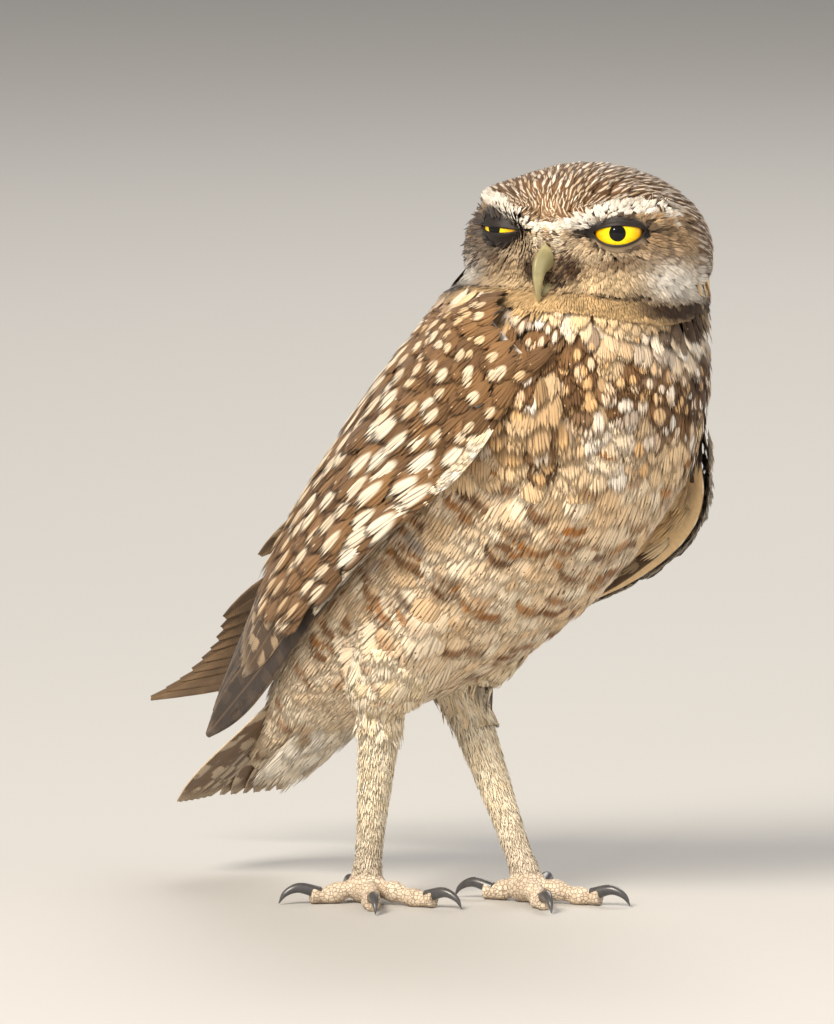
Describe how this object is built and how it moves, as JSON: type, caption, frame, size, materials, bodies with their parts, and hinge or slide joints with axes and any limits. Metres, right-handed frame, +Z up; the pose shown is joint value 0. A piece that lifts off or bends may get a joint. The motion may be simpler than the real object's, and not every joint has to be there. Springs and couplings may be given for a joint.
{
  "type": "burrowing owl model",
  "caption": "Still, life-size model of a small, long-legged ground owl that stands upright and looks over its right shoulder.",
  "frame": {"origin": "on the floor, under the middle of the bounding box", "axes": "-Y is the way the body faces, +X its left side, +Z up"},
  "size_m": [0.1016, 0.2056, 0.1949],
  "materials": {
    "plumage": "soft, matte feathers, warm brown with pale spots",
    "belly": "soft, matte feathers, cream with brown bars",
    "face": "short, matte feathers, grey-brown with white brows",
    "shank": "sparse hair-like feathers over cream scales",
    "toe": "fine grey-brown scales",
    "horn": "olive-yellow horn, satin",
    "claw": "dark grey horn, satin",
    "eye": "yellow iris, black pupil, wet gloss"
  },
  "bodies": {
    "root": {"torso": "belly", "neck": "plumage", "head": "face", "bill_upper": "horn", "bill_lower": "horn", "eye_right": "eye", "eye_left": "eye", "wing_right": "plumage", "wing_left": "plumage", "tail": "plumage", "thigh_right": "belly", "leg_right": "shank", "foot_right": "toe", "toe_right_1": "toe", "claw_right_1": "claw", "toe_right_2": "toe", "claw_right_2": "claw", "toe_right_3": "toe", "claw_right_3": "claw", "toe_right_4": "toe", "claw_right_4": "claw", "thigh_left": "belly", "leg_left": "shank", "foot_left": "toe", "toe_left_1": "toe", "claw_left_1": "claw", "toe_left_2": "toe", "claw_left_2": "claw", "toe_left_3": "toe", "claw_left_3": "claw", "toe_left_4": "toe", "claw_left_4": "claw"}
  },
  "joints": []
}
